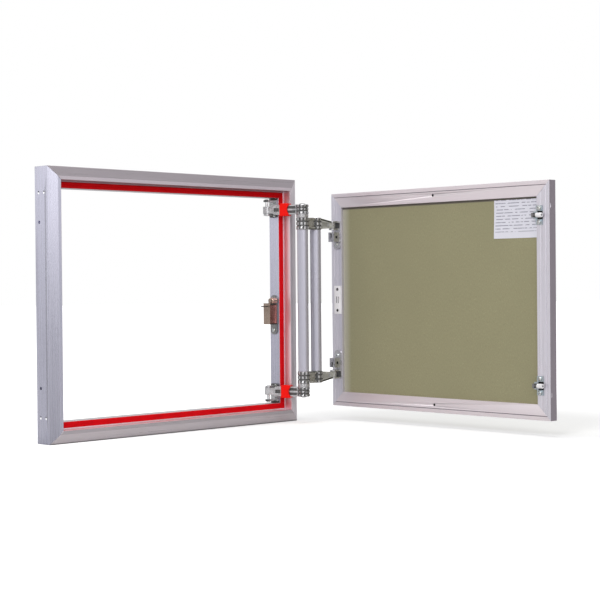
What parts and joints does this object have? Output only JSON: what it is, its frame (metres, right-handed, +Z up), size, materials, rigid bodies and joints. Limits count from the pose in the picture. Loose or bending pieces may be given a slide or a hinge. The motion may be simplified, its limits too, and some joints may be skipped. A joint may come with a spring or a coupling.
{
  "type": "tile access panel",
  "caption": "Flush tile access panel: mitred aluminium frame with red gasket, tile-backing door, knuckled double-link hinge, push latch and roller catches.",
  "frame": {"origin": "centre of the frame, on the plane of its front edge", "axes": "+Z up, +Y into the wall, +X towards the hinge side"},
  "size_m": [0.5788, 0.5032, 0.4],
  "materials": {
    "frame_aluminium": "extruded mill finish with fine lengthwise streaks",
    "door_aluminium": "extruded mill finish with fine lengthwise streaks",
    "tube_aluminium": "drawn tube, satin",
    "cast_cleat": "raw extrusion",
    "red_gasket": "soft foam rubber, matt",
    "red_plastic": "moulded, slightly shiny",
    "zinc_casting": "tumbled zinc casting with bright edges",
    "zinc_sheet": "bright zinc plated sheet",
    "steel_pins": "turned steel",
    "screw_steel": "zinc plated",
    "dark_steel": "blackened",
    "black_pad": "matt black buffer pad",
    "white_plastic": "moulded nylon",
    "latch_steel": "bronze passivated sheet",
    "latch_roller": "bronze passivated, polished by use",
    "tile_board": "paper-faced moisture resistant board, olive",
    "leaflet_paper": "bare office paper"
  },
  "bodies": {
    "frame": {"frame_rail_top": "frame_aluminium", "frame_rail_bottom": "frame_aluminium", "frame_stile_free": "frame_aluminium", "frame_stile_hinge": "frame_aluminium", "frame_cleats": "cast_cleat", "gasket_top": "red_gasket", "gasket_bottom": "red_gasket", "gasket_free": "red_gasket", "gasket_hinge": "red_gasket", "jamb_bracket_upper": "zinc_casting", "jamb_bracket_lower": "zinc_casting", "jamb_bracket_screws": "screw_steel", "jamb_pins": "steel_pins", "keeper_plates": "zinc_sheet", "keeper_screws": "screw_steel", "latch_strip": "zinc_sheet", "latch_housing": "latch_steel", "latch_screws": "screw_steel", "latch_springs": "steel_pins"},
    "swing_arms": {"swing_arm_upper": "zinc_casting", "swing_arm_lower": "zinc_casting", "arm_cuff_upper": "red_plastic", "arm_cuff_lower": "red_plastic", "elbow_tube": "tube_aluminium", "elbow_plugs": "cast_cleat", "elbow_pins": "steel_pins", "elbow_washers": "zinc_casting"},
    "link_arms": {"link_arm_upper": "zinc_casting", "link_arm_lower": "zinc_casting", "link_tube": "tube_aluminium"},
    "door": {"door_rail_top": "door_aluminium", "door_rail_bottom": "door_aluminium", "door_stile_free": "door_aluminium", "door_stile_hinge": "door_aluminium", "door_cleats": "cast_cleat", "tile_board": "tile_board", "leaflet": "leaflet_paper", "door_bracket_upper": "zinc_casting", "door_bracket_lower": "zinc_casting", "door_bracket_screws": "screw_steel", "door_pins": "steel_pins", "adjusting_screws": "dark_steel", "strike_plate": "white_plastic", "strike_screws": "screw_steel", "catch_bracket_upper": "zinc_sheet", "catch_bracket_lower": "zinc_sheet", "catch_liners": "black_pad", "catch_screws": "screw_steel"},
    "roller_upper": {"catch_roller_upper": "white_plastic"},
    "roller_lower": {"catch_roller_lower": "white_plastic"},
    "carriage": {"latch_carriage": "latch_steel"},
    "striker": {"latch_roller": "latch_roller"},
    "release": {"release_pin": "steel_pins"}
  },
  "joints": [
    {"name": "frame_pivot", "type": "hinge", "parent": "frame", "child": "swing_arms", "pos_m": [0.2025, 0.019, 0], "axis": [0, 0, -1], "range_deg": [-2, 124]},
    {"name": "elbow_pivot", "type": "hinge", "parent": "swing_arms", "child": "link_arms", "pos_m": [0.22968, -0.03673, 0], "axis": [0, 0, -1], "range_deg": [-118.73, 2.9]},
    {"name": "door_pivot", "type": "hinge", "parent": "link_arms", "child": "door", "pos_m": [0.29949, -0.03673, 0], "axis": [0, 0, -1], "range_deg": [-2.33, 83.53]},
    {"name": "roller_upper_spin", "type": "hinge", "parent": "door", "child": "roller_upper", "pos_m": [0.29867, -0.458, 0.126], "axis": [-0.0209, -0.9998, 0], "continuous": true},
    {"name": "roller_lower_spin", "type": "hinge", "parent": "door", "child": "roller_lower", "pos_m": [0.29867, -0.458, -0.126], "axis": [-0.0209, -0.9998, 0], "continuous": true},
    {"name": "latch_slide", "type": "slide", "parent": "frame", "child": "carriage", "axis": [0, 1, 0], "range_m": [0, 0.005], "stiffness_N_per_m": 400, "deforming": ["latch_springs"]},
    {"name": "striker_spin", "type": "hinge", "parent": "carriage", "child": "striker", "pos_m": [0.2107, 0.0139, 0], "axis": [1, 0, 0], "continuous": true},
    {"name": "release_slide", "type": "slide", "parent": "frame", "child": "release", "axis": [1, 0, 0], "range_m": [0, 0.003]}
  ],
  "couplings": [
    {"joint": "elbow_pivot", "follows": "frame_pivot", "ratio": -0.94941},
    {"joint": "door_pivot", "follows": "frame_pivot", "ratio": 0.66554}
  ]
}
